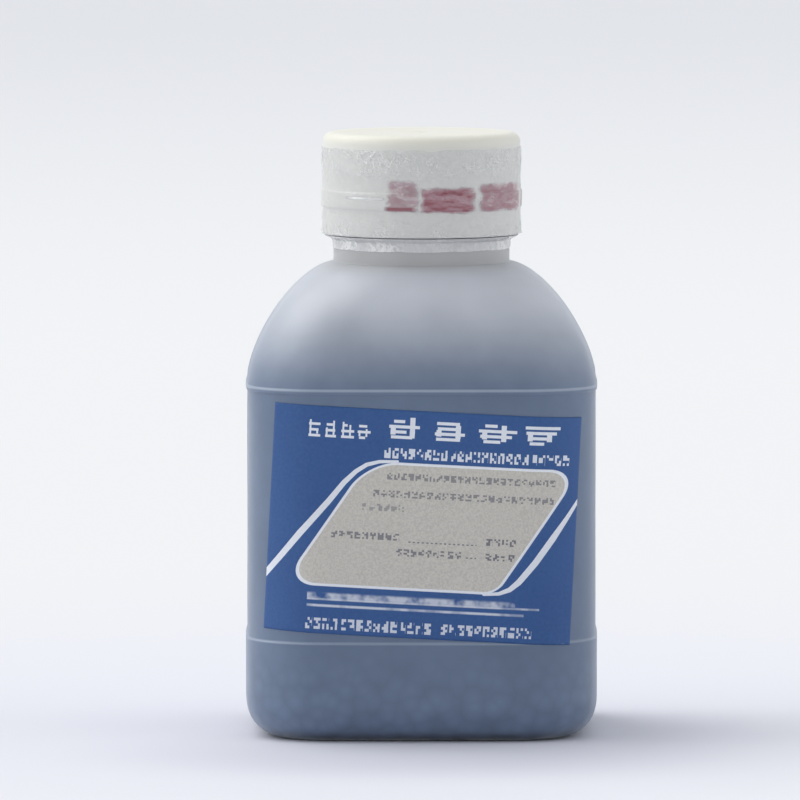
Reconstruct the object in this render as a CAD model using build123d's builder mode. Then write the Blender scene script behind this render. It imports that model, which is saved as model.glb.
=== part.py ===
from build123d import *
import os
from math import atan2, cos, degrees, radians, sin, sqrt

# A square plastic bottle of silica gel beads, with a screw cap under a shrink seal.
# Millimetres. The origin is on the ground at the middle of the base, +Z is up,
# and the front, with the label, faces -Y. Heights are measured from the ground.

# Driving sizes of the bottle
body_width = 88.3          # across the flats, at the middle of each side
side_radius = 600.0        # each side bows out a little
corner_radius = 20.0       # the four upright corners
base_edge_radius = 9.0
lower_rib_height = 25.0    # foot of the label panel
upper_rib_height = 86.4    # head of the label panel
rib_lip_height = 1.2       # straight lip above the label panel
panel_depth = 0.4          # how far the label panel is set in
neck_base_height = 117.2   # where the shoulder meets the neck
neck_height = 28.9         # neck base to rim
neck_radius = 22.1
neck_wall = 1.7
wall = 1.2
shoulder_power = 1.5       # superellipse exponent: 2 is an ellipse, 1 a straight cone
shoulder_steps = 8
neck_margin = 0.3          # the shoulder's head stands this far outside the neck
push_up_inset = 13.0       # from the side to the hollow under the base
push_up_depth = 1.6

# Driving sizes of the screw thread
thread_pitch = 4.233
thread_depth = 1.1
thread_root_width = 1.9
thread_crest_width = 1.0
neck_thread_turns = 1.75
cap_thread_turns = 1.6
thread_below_rim = 4.0     # from the rim to the top end of the neck's thread
thread_clearance = 0.3     # radial, between crest and root

# Driving sizes of the closure
cap_wall = 1.3
cap_top_thickness = 1.6
cap_edge_radius = 2.5
cap_band_foot = 6.6        # raised band, measured up from the cap's lower edge
cap_band_width = 4.6
cap_band_depth = 0.35
liner_thickness = 1.0
liner_clearance = 0.3
stopper_flange_thickness = 1.2
stopper_flange_inset = 0.1
stopper_depth = 12.0
stopper_wall = 1.1
stopper_clearance = 0.05   # radial, in the neck
stopper_lead = 1.0
grip_width = 14.0
grip_thickness = 1.8
grip_height = 8.0

# Driving sizes of the seal, the label and the contents
film_thickness = 0.15
film_gap = 0.15            # under the cap's lower edge, where the seal tears
sleeve_top_margin = 3.5    # bare cap above the seal
bare_neck = 3.5            # neck between the shoulder and the seal
collar_height = 3.6        # seal on the neck below its tear line
collar_edge_inset = 0.3    # the torn edge stops short of the cap's side
label_span = 76.2          # straight across; the paper follows the corners, so it is longer
label_height = 56.6
label_thickness = 0.12
label_rise = 29.4           # label's middle above the foot of its panel
label_centre_offset = 0.2
label_tilt = -3.0          # degrees about the way it faces, as it was stuck on
headspace = 16.2           # neck base down to the top of the beads
gel_gap = 0.25             # between the beads and the wall

# Worked-out places
body_half = body_width / 2
mouth_height = neck_base_height + neck_height
neck_bore = neck_radius - neck_wall
flange_top = mouth_height + stopper_flange_thickness
liner_top = flange_top + liner_thickness
cap_top = liner_top + cap_top_thickness
tear_height = neck_base_height + bare_neck + collar_height
cap_bottom = tear_height + film_gap
cap_bore = neck_radius + thread_depth + thread_clearance
cap_radius = cap_bore + cap_wall
bury = 0.3                 # how deep a thread's root is sunk into its wall
thread_foot = mouth_height - thread_below_rim - neck_thread_turns * thread_pitch

os.makedirs("parts", exist_ok=True)


def save(builder, name):
    builder.part.label = name
    export_step(builder.part, "parts/" + name + ".step")


def body_section(height, half, corner, bow):
    """A square with bowed sides and rounded corners, all arcs tangent to each other."""
    back = bow - half
    corner_centre = (sqrt(2 * (bow - corner) ** 2 - back**2) - back) / 2
    swing = degrees(atan2(corner_centre, corner_centre + back))
    with BuildSketch(Plane.XY.offset(height)) as section:
        with BuildLine():
            for quarter in range(4):
                turn = 90 * quarter
                side_centre = Vector(-back, 0).rotate(Axis.Z, turn)
                CenterArc(side_centre, bow, turn - swing, 2 * swing)
                centre = Vector(corner_centre, corner_centre).rotate(Axis.Z, turn)
                CenterArc(centre, corner, turn + swing, 90 - 2 * swing)
        make_face()
    return section.sketch


def plan(height, inset):
    """The body's plan, drawn in by an inset."""
    return body_section(height, body_half - inset, corner_radius - inset, side_radius - inset)


def shoulder_sections(inset):
    """Plans of the shoulder from the lip up to the neck, on a superellipse."""
    foot = upper_rib_height + rib_lip_height
    rise = neck_base_height - inset - foot
    spread = body_half - neck_radius - neck_margin
    sections = []
    for step in range(shoulder_steps + 1):
        angle = radians(90 * step / shoulder_steps)
        height = foot + rise * sin(angle) ** (2 / shoulder_power)
        in_by = inset + spread * (1 - max(cos(angle), 0) ** (2 / shoulder_power))
        half = body_half - in_by
        corner = min(corner_radius - inset, half - neck_margin)
        sections.append(body_section(height, half, corner, side_radius - inset))
    return sections


def body_form(inset):
    """The solid inside the bottle's outline, drawn in by an inset on every side."""
    panel_inset = inset + panel_depth
    with BuildPart() as form:
        extrude(plan(inset, inset), amount=lower_rib_height - inset)
        fillet(form.faces().sort_by(Axis.Z)[0].edges(), base_edge_radius - inset)
        chamfer(form.faces().sort_by(Axis.Z)[-1].edges(), panel_depth)
        extrude(plan(lower_rib_height, panel_inset), amount=upper_rib_height - lower_rib_height)
        with BuildPart(mode=Mode.PRIVATE) as lip:
            extrude(plan(upper_rib_height, inset), amount=rib_lip_height)
            chamfer(lip.faces().sort_by(Axis.Z)[0].edges(), panel_depth)
        add(lip.part)
        loft(sections=shoulder_sections(inset))
    return form.part


def push_up(inset):
    """The hollow under the base, drawn out by an inset so that the floor keeps its wall."""
    half = body_half - push_up_inset + inset
    corner = corner_radius - push_up_inset + inset
    with BuildPart() as hollow:
        extrude(body_section(0, half, corner, side_radius), amount=push_up_depth + inset)
        fillet(hollow.faces().sort_by(Axis.Z)[-1].edges(), push_up_depth / 2)
    return hollow.part


def thread_ridge(radius, outward, foot, turns):
    """A right-hand trapezoid ridge that stands out of, or into, a round wall."""
    side = 1 if outward else -1
    root = radius - side * bury
    crest = radius + side * thread_depth
    with BuildPart() as ridge:
        with BuildLine():
            path = Helix(thread_pitch, turns * thread_pitch, radius, center=(0, 0, foot))
        with BuildSketch(Plane(origin=(0, 0, foot), x_dir=(1, 0, 0), z_dir=(0, -1, 0))):
            with BuildLine():
                Polyline(
                    (root, -thread_root_width / 2),
                    (crest, -thread_crest_width / 2),
                    (crest, thread_crest_width / 2),
                    (root, thread_root_width / 2),
                    close=True,
                )
            make_face()
        sweep(path=path, is_frenet=True)
    return ridge.part


def ring(points):
    """A body of revolution from a closed outline of (radius, height) points."""
    with BuildPart() as turned:
        with BuildSketch(Plane.XZ):
            with BuildLine():
                Polyline(*points, close=True)
            make_face()
        revolve(axis=Axis.Z)
    return turned.part


# Bottle: one blow-moulded shell, open at the neck
with BuildPart() as bottle:
    add(body_form(0))
    with BuildSketch(Plane.XY.offset(neck_base_height - wall)):
        Circle(neck_radius)
    extrude(amount=neck_height + wall)
    with BuildPart(mode=Mode.PRIVATE) as inside:
        add(body_form(wall))
        add(push_up(wall), mode=Mode.SUBTRACT)
    add(inside.part, mode=Mode.SUBTRACT)
    add(push_up(0), mode=Mode.SUBTRACT)
    with BuildSketch(Plane.XY.offset(neck_base_height - 2 * wall)):
        Circle(neck_bore)
    extrude(amount=neck_height + 2 * wall, mode=Mode.SUBTRACT)
    rim = bottle.edges().filter_by(GeomType.CIRCLE).group_by(Axis.Z)[-1]
    fillet(rim, neck_wall / 4)
    add(thread_ridge(neck_radius, True, thread_foot, neck_thread_turns))
save(bottle, "bottle")

# Silica gel: the bed of beads, level at the top
with BuildPart() as silica_gel:
    add(body_form(wall + gel_gap))
    add(push_up(wall + gel_gap), mode=Mode.SUBTRACT)
    split(bisect_by=Plane.XY.offset(neck_base_height - headspace), keep=Keep.BOTTOM)
save(silica_gel, "silica_gel")

# Label: paper laid on the front panel, round its corners and over its foot, a little askew
with BuildPart() as front_label:
    facing = Plane(origin=(0, -body_half - label_thickness, 0), x_dir=(1, 0, 0), z_dir=(0, -1, 0))
    with BuildSketch(facing):
        with Locations((label_centre_offset, lower_rib_height + label_rise)):
            Rectangle(label_span, label_height, rotation=label_tilt)
    extrude(amount=-corner_radius)
    add(body_form(-label_thickness), mode=Mode.INTERSECT)
    add(body_form(0), mode=Mode.SUBTRACT)
save(front_label, "front_label")

# Inner stopper: a flanged cup pressed into the neck, with a grip to pull it by
with BuildPart() as inner_stopper:
    plug = neck_bore - stopper_clearance
    plug_foot = mouth_height - stopper_depth
    well_floor = plug_foot + stopper_wall
    add(
        ring(
            [
                (0, plug_foot),
                (plug - stopper_lead, plug_foot),
                (plug, plug_foot + 2 * stopper_lead),
                (plug, mouth_height),
                (neck_radius - stopper_flange_inset, mouth_height),
                (neck_radius - stopper_flange_inset, flange_top),
                (plug - stopper_wall, flange_top),
                (plug - stopper_wall - stopper_lead / 2, well_floor),
                (0, well_floor),
            ]
        )
    )
    with BuildSketch(Plane.XZ) as grip:
        with Locations((0, well_floor)):
            Rectangle(grip_width, grip_height, align=(Align.CENTER, Align.MIN))
        fillet(grip.vertices().group_by(Axis.Y)[-1], grip_height / 3)
    extrude(amount=grip_thickness / 2, both=True)
save(inner_stopper, "inner_stopper")

# Screw cap: side wall with a raised band, rounded top edge and inside thread
with BuildPart() as screw_cap:
    band_foot = cap_bottom + cap_band_foot
    band_head = band_foot + cap_band_width
    with BuildSketch(Plane.XZ):
        with BuildLine():
            Polyline(
                (cap_bore, cap_bottom),
                (cap_radius, cap_bottom),
                (cap_radius, band_foot),
                (cap_radius + cap_band_depth, band_foot + cap_band_depth),
                (cap_radius + cap_band_depth, band_head - cap_band_depth),
                (cap_radius, band_head),
                (cap_radius, cap_top),
                (0, cap_top),
                (0, liner_top),
                (cap_bore, liner_top),
                close=True,
            )
        make_face()
    revolve(axis=Axis.Z)
    top_edge = screw_cap.faces().sort_by(Axis.Z)[-1].edges()
    fillet(top_edge, cap_edge_radius)
    add(thread_ridge(cap_bore, False, thread_foot - thread_pitch / 2, cap_thread_turns))
save(screw_cap, "screw_cap")

# Cap liner: soft sealing disc that lies on the stopper
with BuildPart() as cap_liner:
    with BuildSketch(Plane.XY.offset(flange_top)):
        Circle(cap_bore - liner_clearance)
    extrude(amount=liner_thickness)
save(cap_liner, "cap_liner")

# Shrink seal on the cap, down to the cap's lower edge
with BuildPart() as cap_sleeve:
    sleeve_top = cap_top - sleeve_top_margin
    follow = [
        (cap_radius, cap_bottom),
        (cap_radius, band_foot),
        (cap_radius + cap_band_depth, band_foot + cap_band_depth),
        (cap_radius + cap_band_depth, band_head - cap_band_depth),
        (cap_radius, band_head),
        (cap_radius, sleeve_top),
    ]
    outside = [(radius + film_thickness, height) for radius, height in follow]
    add(ring(follow + outside[::-1]))
save(cap_sleeve, "cap_sleeve")

# Shrink seal left on the neck, flared out to the tear line under the cap
with BuildPart() as neck_collar:
    collar_foot = neck_base_height + bare_neck
    torn_edge = cap_radius - collar_edge_inset
    flare_foot = tear_height - collar_height / 3
    inner = [
        (neck_radius, collar_foot),
        (neck_radius, flare_foot),
        (torn_edge, tear_height - film_thickness),
    ]
    outer = [
        (torn_edge, tear_height - 2 * film_thickness),
        (neck_radius + film_thickness, flare_foot - film_thickness),
        (neck_radius + film_thickness, collar_foot),
    ]
    add(ring(inner + outer))
save(neck_collar, "neck_collar")

print("overall height", round(cap_top, 2), "cap radius", round(cap_radius, 2))
print("cap foot", round(cap_bottom, 2), "neck rim", round(mouth_height, 2))
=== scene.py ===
import math
import bmesh
import bpy
import numpy as np
from mathutils import Matrix, Vector, noise


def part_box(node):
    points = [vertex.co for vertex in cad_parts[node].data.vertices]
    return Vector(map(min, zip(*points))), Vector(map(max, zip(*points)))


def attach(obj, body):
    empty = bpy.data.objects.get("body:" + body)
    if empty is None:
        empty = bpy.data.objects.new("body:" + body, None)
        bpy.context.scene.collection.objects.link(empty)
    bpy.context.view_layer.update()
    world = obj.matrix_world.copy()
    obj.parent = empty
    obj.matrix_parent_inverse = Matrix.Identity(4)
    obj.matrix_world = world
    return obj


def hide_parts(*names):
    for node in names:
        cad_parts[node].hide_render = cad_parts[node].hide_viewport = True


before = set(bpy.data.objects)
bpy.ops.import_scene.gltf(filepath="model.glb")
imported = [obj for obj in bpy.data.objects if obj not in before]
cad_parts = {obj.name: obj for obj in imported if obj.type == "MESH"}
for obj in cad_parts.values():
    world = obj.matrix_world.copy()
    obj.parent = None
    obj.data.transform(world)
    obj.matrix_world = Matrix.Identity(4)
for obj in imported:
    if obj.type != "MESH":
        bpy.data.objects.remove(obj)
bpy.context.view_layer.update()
mm = 0.001


def boxMm(node):
    low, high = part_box(node)
    return Vector(low) * 1000, Vector(high) * 1000


bottleLow, bottleHigh = boxMm("bottle")
gelLow, gelHigh = boxMm("silica_gel")
capLow, capHigh = boxMm("screw_cap")
linerLow, linerHigh = boxMm("cap_liner")
sleeveLow, sleeveHigh = boxMm("cap_sleeve")
collarLow, collarHigh = boxMm("neck_collar")
print("frame loaded:", ", ".join(sorted(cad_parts)))


# Node trees: one class for a value on its way, one for the tree it is in.

class Wire:
    def __init__(self, bench, socket):
        self.bench, self.socket = bench, socket

    def op(self, operation, *others, clamp=False):
        inputs = dict(enumerate((self,) + others))
        return self.bench.node("ShaderNodeMath", {"operation": operation, "use_clamp": clamp}, inputs)

    def __add__(self, other):
        return self.op("ADD", other)

    __radd__ = __add__

    def __mul__(self, other):
        return self.op("MULTIPLY", other)

    __rmul__ = __mul__

    def __sub__(self, other):
        return self.op("SUBTRACT", other)

    def __rsub__(self, other):
        return self.bench.number(other).op("SUBTRACT", self)

    def __truediv__(self, other):
        return self.op("DIVIDE", other)

    def __gt__(self, other):
        return self.op("GREATER_THAN", other)

    def __lt__(self, other):
        return self.op("LESS_THAN", other)

    def near(self, middle, reach):  # 1 within reach of middle, else 0
        return self.op("COMPARE", middle, reach)

    def between(self, low, high):
        return self.near((low + high) / 2, (high - low) / 2)

    def rise(self, low, high):  # 0 at low to 1 at high, straight between
        return ((self - low) / (high - low)).op("MULTIPLY", 1.0, clamp=True)

    def soft(self, low, high):  # the same, eased at both ends
        inputs = {"Value": self, "From Min": low, "From Max": high}
        return self.bench.node("ShaderNodeMapRange", {"interpolation_type": "SMOOTHSTEP"}, inputs)

    def stripe(self, middle, inner, outer):  # 1 up to inner away from middle, 0 from outer on
        return 1.0 - (self - middle).op("ABSOLUTE").soft(inner, outer)


class Bench:
    def __init__(self, tree):
        self.tree = tree

    def node(self, kind, settings=None, inputs=None, output=0):
        made = self.tree.nodes.new(kind)
        for key, value in (settings or {}).items():
            setattr(made, key, value)
        for key, value in (inputs or {}).items():
            if isinstance(value, Wire):
                self.tree.links.new(value.socket, made.inputs[key])
            else:
                made.inputs[key].default_value = value
        return Wire(self, made.outputs[output])

    def number(self, value):
        return self.node("ShaderNodeMath", {"operation": "ADD"}, {0: value, 1: 0.0})

    def mix(self, factor, first, second):
        inputs = {0: factor, 6: first, 7: second}
        return self.node("ShaderNodeMix", {"data_type": "RGBA"}, inputs, output=2)

    def parts(self, vector):
        made = self.tree.nodes.new("ShaderNodeSeparateXYZ")
        self.tree.links.new(vector.socket, made.inputs[0])
        return [Wire(self, out) for out in made.outputs]

    def place(self):  # Object coordinates, in millimetres
        at = self.node("ShaderNodeTexCoord", output=3)
        inputs = {0: at, 1: (1000.0, 1000.0, 1000.0)}
        return self.node("ShaderNodeVectorMath", {"operation": "MULTIPLY"}, inputs)

    def grain(self, at, size, detail=2.0, rough=0.5):
        inputs = {"Vector": at, "Scale": 1.0 / size, "Detail": detail, "Roughness": rough}
        return self.node("ShaderNodeTexNoise", None, inputs)

    def cells(self, at, size):
        return self.node("ShaderNodeTexVoronoi", None, {"Vector": at, "Scale": 1.0 / size})

    def dice(self, seed):  # one random number for each whole seed
        return self.node("ShaderNodeTexWhiteNoise", {"noise_dimensions": "1D"}, {"W": seed})

    def bump(self, height, depth, distance=0.0001):
        inputs = {"Strength": depth, "Distance": distance, "Height": height}
        return self.node("ShaderNodeBump", None, inputs)


def strongest(marks):
    shown = marks[0]
    for mark in marks[1:]:
        shown = shown.op("MAXIMUM", mark)
    return shown


def linear(red, green, blue):  # a screen colour, 0 to 255, as light
    def one(level):
        level = level / 255
        return level / 12.92 if level <= 0.04045 else ((level + 0.055) / 1.055) ** 2.4
    return (one(red), one(green), one(blue), 1.0)


def scaled(colour, factor):
    return tuple(channel * factor for channel in colour[:3]) + (1.0,)


def finish(name, build):  # build(bench) returns the Principled sockets
    material = bpy.data.materials.new(name)
    material.use_nodes = True
    tree = material.node_tree
    tree.nodes.clear()
    bench = Bench(tree)
    surface = bench.node("ShaderNodeBsdfPrincipled", None, build(bench))
    out = tree.nodes.new("ShaderNodeOutputMaterial")
    tree.links.new(surface.socket, out.inputs["Surface"])
    return material


# Sizes of the bottle, in millimetres.

bottleShape = {
    "half": (bottleHigh.x - bottleLow.x) / 2,
    "bow": 600.0,
    "corner": 20.0,
    "footRound": 9.0,
    "lowerRib": 25.0,
    "upperRib": 86.4,
    "panelDepth": 0.4,
    "ribStep": 0.45,  # height of the moulded step at a rib
    "lip": 1.2,
    "ledge": 0.22,  # the shoulder starts this far inside the lip
    "ledgeFade": 11.0,
    "neckFoot": 117.2,
    "neckRadius": 22.1,
    "neckMargin": 0.3,
    "neckWall": 1.7,
    "wall": 1.2,
    "shoulderPower": 1.5,
    "pushUpInset": 13.0,
    "pushUpDepth": 1.6,
    "rimRound": 0.42,
    "seamWidth": 0.35,
    "seamHeight": 0.09,
    "ripple": 0.10,  # how far the blown wall wanders inward
    "sides": 192,
    "innerFloor": [  # share of the hollow's size, rise above the wall
        (1.03, 0.0), (1.0, 0.35), (0.97, 1.0), (0.93, 1.45), (0.8, 1.6), (0.5, 1.6), (0.2, 1.6),
    ],
}


# Finishes.

milkyPlastic = {
    "fillFoot": gelHigh.z - 17.0,
    "fillHead": gelHigh.z + 11.0,
    "filled": linear(110, 128, 154),  # beads close behind the wall, darker also as painted shade, as no light gets in past them
    # painted light: the empty shoulder is lighter, for light that comes in through the walls
    "empty": linear(189, 193, 201),
    "neck": linear(184, 184, 184),
    "rib": linear(186, 198, 216),  # painted highlight line along each rib, for the light that thicker plastic scatters
    "ribHeights": (24.85, 87.75),
    "filledCover": 0.80,
    "emptyCover": 0.93,
    "beadSize": 3.6,
    "paintedGlow": linear(96, 98, 102),  # painted glow, for daylight that comes through the neck's wall
}


def milkyPlasticNodes(bench):
    look, foot = milkyPlastic, bottleShape["neckFoot"]
    at = bench.place()
    x, y, height = bench.parts(at)
    cloud = bench.grain(at, 18.0, 2.0)
    fill = (height + (cloud - 0.5) * 4.0).soft(look["fillFoot"], look["fillHead"])
    beads = bench.cells(at, look["beadSize"])
    pressed = 1.0 - height.soft(6.0, 26.0)  # beads lean harder on the wall low down
    speck = (beads - 0.45) * (0.08 + 0.30 * pressed) * (1.0 - fill)
    # the last term is painted shade: darker along the bottom edge of the base
    toneAndFootShade = 1.0 + (cloud - 0.5) * 0.16 - speck + pressed * 0.12 - (1.0 - height.soft(0.3, 3.0)) * 0.6
    # painted light and shade: the empty part lighter and the filled part darker than the plastic alone, the
    # filled part also tinted by the beads behind
    colour = bench.mix(fill, look["filled"], look["empty"])
    colour = bench.mix(height.soft(foot - 2.5, foot + 0.5), colour, look["neck"])
    grey = bench.node("ShaderNodeCombineXYZ", None, {0: toneAndFootShade, 1: toneAndFootShade, 2: toneAndFootShade})
    colour = bench.node("ShaderNodeVectorMath", {"operation": "MULTIPLY"}, {0: colour, 1: grey})
    # painted highlight lines along the two ribs
    ribHighlights = [height.stripe(rib, 0.15, 0.5) for rib in look["ribHeights"]]
    colour = bench.mix(ribHighlights[0] * 0.4 + ribHighlights[1] * 0.6, colour, look["rib"])
    cover = look["filledCover"] + fill * (look["emptyCover"] - look["filledCover"])
    cover = cover + (cloud - 0.5) * 0.10 - pressed * 0.06
    offAxis = (x * x + y * y).op("SQRT")
    # the bore gets a painted glow from emission
    inBore = (offAxis < bottleShape["neckRadius"] - 0.8) * height.soft(foot - 6.0, foot + 2.0)
    fine = bench.grain(at, 1.1, 4.0, 0.6)
    wave = bench.grain(at, 9.0, 1.0)
    return {
        "Base Color": colour,
        "Roughness": 0.36 + fine * 0.14,
        "Alpha": cover,
        "IOR": 1.5,
        "Specular IOR Level": 0.5,
        "Coat Weight": 0.1,
        "Coat Roughness": 0.3,
        "Sheen Weight": 0.35,
        "Sheen Roughness": 0.45,
        "Sheen Tint": (0.86, 0.92, 1.0, 1.0),
        "Emission Color": bench.mix(inBore, (0.0, 0.0, 0.0, 1.0), look["paintedGlow"]),
        "Emission Strength": 1.0,
        "Normal": bench.bump(fine * 0.2 + wave, 0.3, 0.0004),
    }


beadGlass = {
    "deep": linear(22, 34, 84),
    "pale": linear(70, 104, 176),
    "violet": linear(104, 82, 140),
}


def beadGlassNodes(bench):
    at = bench.place()
    tint = bench.node("ShaderNodeAttribute", {"attribute_name": "beadTint"}, output=2)
    cloud = bench.grain(at, 0.9, 3.0)
    colour = bench.mix(tint, beadGlass["deep"], beadGlass["pale"])
    colour = bench.mix((tint > 0.93) * 0.7, colour, beadGlass["violet"])
    colour = bench.mix(cloud * 0.35, colour, scaled(beadGlass["deep"], 0.5))
    return {
        "Base Color": colour,
        "Roughness": 0.16 + cloud * 0.2,
        "Coat Weight": 0.35,
        "Coat Roughness": 0.1,
        "Normal": bench.bump(cloud, 0.25, 0.0002),
    }


# gap is painted shade between the packed beads
packedBeads = {"bead": linear(40, 58, 120), "gap": linear(8, 12, 34), "size": 3.4}


def packedBeadsNodes(bench):  # what shows between the outer beads
    at = bench.place()
    cell = bench.cells(at, packedBeads["size"])
    # painted shade darkens each bead towards the gaps
    colour = bench.mix(cell, packedBeads["bead"], packedBeads["gap"])
    return {
        "Base Color": colour,
        "Roughness": 0.35 + cell * 0.3,
        "Normal": bench.bump(1.0 - cell, 0.9, 0.0012),
    }


capWhite = {
    "side": linear(222, 222, 216),
    # the crown colour holds painted top light
    "crown": linear(229, 227, 214),
    "cloud": linear(205, 204, 194),
}


def capWhiteNodes(bench):
    at = bench.place()
    height = bench.parts(at)[2]
    cloud = bench.grain(at, 7.0, 3.0)
    fine = bench.grain(at, 0.45, 3.0, 0.6)
    # painted light: the crown is lighter than the side, as if lit from above, and a little warmer in tint
    crown = height.soft(capHigh.z - 4.0, capHigh.z - 1.0)
    colour = bench.mix(crown, capWhite["side"], capWhite["crown"])
    colour = bench.mix(cloud * 0.12, colour, capWhite["cloud"])
    return {
        "Base Color": colour,
        "Roughness": 0.36 + fine * 0.12 + cloud * 0.06,
        "Specular IOR Level": 0.5,
        "Coat Weight": 0.1,
        "Coat Roughness": 0.3,
        "Normal": bench.bump(fine * 0.4 + cloud, 0.3, 0.0001),
    }


stopperPlastic = {"pale": linear(232, 234, 232), "cloud": linear(208, 212, 214)}


def stopperPlasticNodes(bench):
    at = bench.place()
    cloud = bench.grain(at, 5.0, 3.0)
    fine = bench.grain(at, 0.35, 2.0)
    return {
        "Base Color": bench.mix(cloud * 0.5, stopperPlastic["pale"], stopperPlastic["cloud"]),
        "Roughness": 0.34 + fine * 0.12,
        "Coat Weight": 0.12,
        "Coat Roughness": 0.25,
        "Normal": bench.bump(fine * 0.3 + cloud, 0.25, 0.0001),
    }


linerFoam = {"pale": linear(236, 236, 230), "pore": linear(206, 205, 198)}


def linerFoamNodes(bench):
    at = bench.place()
    pores = bench.cells(at, 0.42)
    cloud = bench.grain(at, 3.0, 2.0)
    return {
        "Base Color": bench.mix(pores * 0.5 + cloud * 0.2, linerFoam["pale"], linerFoam["pore"]),
        "Roughness": 0.75 + pores * 0.15,
        "Normal": bench.bump(pores, 0.5, 0.0001),
    }


def glyphs(bench, across, up, box, count, seed, rows, posts, stroke=0.062):
    # each cell gets short bars of chance lengths, so that no real letter is meant
    left, bottom, right, top = box
    run = (across - left) * (count / (right - left))
    lift = (up - bottom) * (1.0 / (top - bottom))
    cell = run.op("FLOOR")
    local = run.op("FRACT")
    marks = []
    for bar in range(rows + posts):
        level = bar < rows
        chance = bench.dice(cell * 1.37 + (seed + bar * 7.31))
        along, over = (local, lift) if level else (lift, local)
        steps = rows if level else posts
        middle = ((bar if level else bar - rows) + 0.5) / steps
        width = stroke if level else stroke * 0.9
        low = 0.42 + chance * 0.16
        reach = 0.12 + chance * 0.30
        marks.append(along.near(low, reach) * over.near(0.08 + 0.84 * middle, width))
    return strongest(marks) * run.between(0.0, float(count)) * lift.between(0.0, 1.0)


def specks(bench, across, up, box, columns, rows, seed, share=0.56, pace=0.25):
    # a line of small print seen as flecks, with a gap after every few columns
    left, bottom, right, top = box
    run = (across - left) * (columns / (right - left))
    lift = (up - bottom) * (rows / (top - bottom))
    key = bench.node("ShaderNodeCombineXYZ", None, {0: run.op("FLOOR"), 1: lift.op("FLOOR"), 2: seed})
    chance = bench.node("ShaderNodeTexWhiteNoise", {"noise_dimensions": "3D"}, {"Vector": key})
    inside = run.between(0.0, float(columns)) * lift.between(0.0, float(rows))
    return (chance > 1.0 - share) * (run * pace).op("FRACT").between(0.0, 0.78) * inside


labelPrint = {
    "blue": linear(40, 84, 143),
    "deepBlue": linear(28, 67, 126),
    "white": linear(236, 240, 246),
    "panel": linear(207, 203, 194),
    "panelDark": linear(170, 168, 163),
    "ink": linear(70, 74, 96),
    "fibre": linear(120, 150, 196),
    "slant": 0.62,  # run of the panel's sides for each unit up
    "panelMiddle": (2.75, -0.6),
    "panelReach": (22.2, 15.5),
    "panelCorner": 6.4,
    "tightCorner": 2.6,  # the lower right one, where the stripe joins
    "stripes": [  # points of each: across, up, half its width
        [
            (-39.4, -16.0, 0.65), (-30.3, -3.6, 0.8), (-23.4, 5.0, 0.72), (-20.0, 9.6, 0.65),
            (-17.2, 12.5, 0.55), (-14.6, 14.3, 0.5), (-11.5, 15.2, 0.42), (-7.0, 15.5, 0.3),
        ],
        [
            (39.5, 9.6, 0.3), (35.6, 3.0, 0.55), (32.4, -2.0, 0.8), (28.4, -8.1, 0.8),
            (24.6, -13.0, 0.75), (22.4, -15.0, 0.6), (19.8, -16.1, 0.45), (16.0, -16.5, 0.3),
        ],
    ],
    "fleckRows": 4,
    "heads": [  # cells, seed, bars, posts, box
        (4, 3.0, 3, 2, (-30.2, 19.8, -13.9, 24.9)),
        (4, 11.0, 4, 2, (-11.8, 20.4, 33.6, 26.6)),
    ],
    "whiteLines": [  # columns, seed, strength, box
        (92, 29.0, 0.9, (-10.4, 16.2, 36.0, 18.8)),
        (60, 53.0, 0.8, (-27.8, -27.2, 3.9, -24.4)),
        (44, 59.0, 0.8, (5.9, -27.0, 28.8, -24.4)),
    ],
    "darkLines": [
        (96, 67.0, 0.8, (-9.4, 10.9, 32.8, 12.6)),
        (94, 71.0, 0.8, (-12.6, 6.5, 32.2, 8.2)),
        (24, 79.0, 0.6, (-15.2, 3.0, -4.4, 4.7)),
        (36, 83.0, 0.9, (-22.5, -4.2, -5.2, -2.5)),
        (36, 89.0, 0.9, (-6.2, -8.0, 10.3, -6.2)),
        (16, 97.0, 1.0, (16.0, -4.3, 23.8, -2.6)),
        (16, 101.0, 1.0, (16.0, -8.0, 23.6, -6.3)),
    ],
    "rules": [  # height, left, right, half width, strength, worn
        (-18.9, -27.7, 24.0, 0.75, 0.0, 0.7),
        (-19.7, -27.7, 30.0, 0.25, 0.35, 0.4),
        (-21.3, -27.7, 26.2, 0.3, 0.35, 0.4),
    ],
    "dots": [(-3.9, 13.6, -4.4), (10.8, 13.7, -7.6)],
}


def swoosh(across, up, points):  # a tapering painted line through points
    marks = []
    for (ax, ay, aw), (bx, by, bw) in zip(points, points[1:]):
        dx, dy = bx - ax, by - ay
        span = dx * dx + dy * dy
        run = ((across - ax) * (dx / span) + (up - ay) * (dy / span)).op("MULTIPLY", 1.0, clamp=True)
        offX = across - ax - run * dx
        offY = up - ay - run * dy
        gap = (offX * offX + offY * offY).op("SQRT")
        marks.append(gap < (aw + run * (bw - aw)))
    return strongest(marks)


def panelEdge(across, up):  # how far outside the leaning panel, inside below 0
    look = labelPrint
    (middleX, middleY), (reachX, reachY) = look["panelMiddle"], look["panelReach"]
    skew = (across - up * look["slant"] - middleX) * math.cos(math.atan(look["slant"]))
    lift = up - middleY
    tight = (skew > 0.0) * (lift < 0.0)
    corner = look["panelCorner"] - tight * (look["panelCorner"] - look["tightCorner"])
    overX = skew.op("ABSOLUTE") - reachX + corner
    overY = lift.op("ABSOLUTE") - reachY + corner
    outX, outY = overX.op("MAXIMUM", 0.0), overY.op("MAXIMUM", 0.0)
    inside = overX.op("MAXIMUM", overY).op("MINIMUM", 0.0)
    return (outX * outX + outY * outY).op("SQRT") + inside - corner


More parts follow.
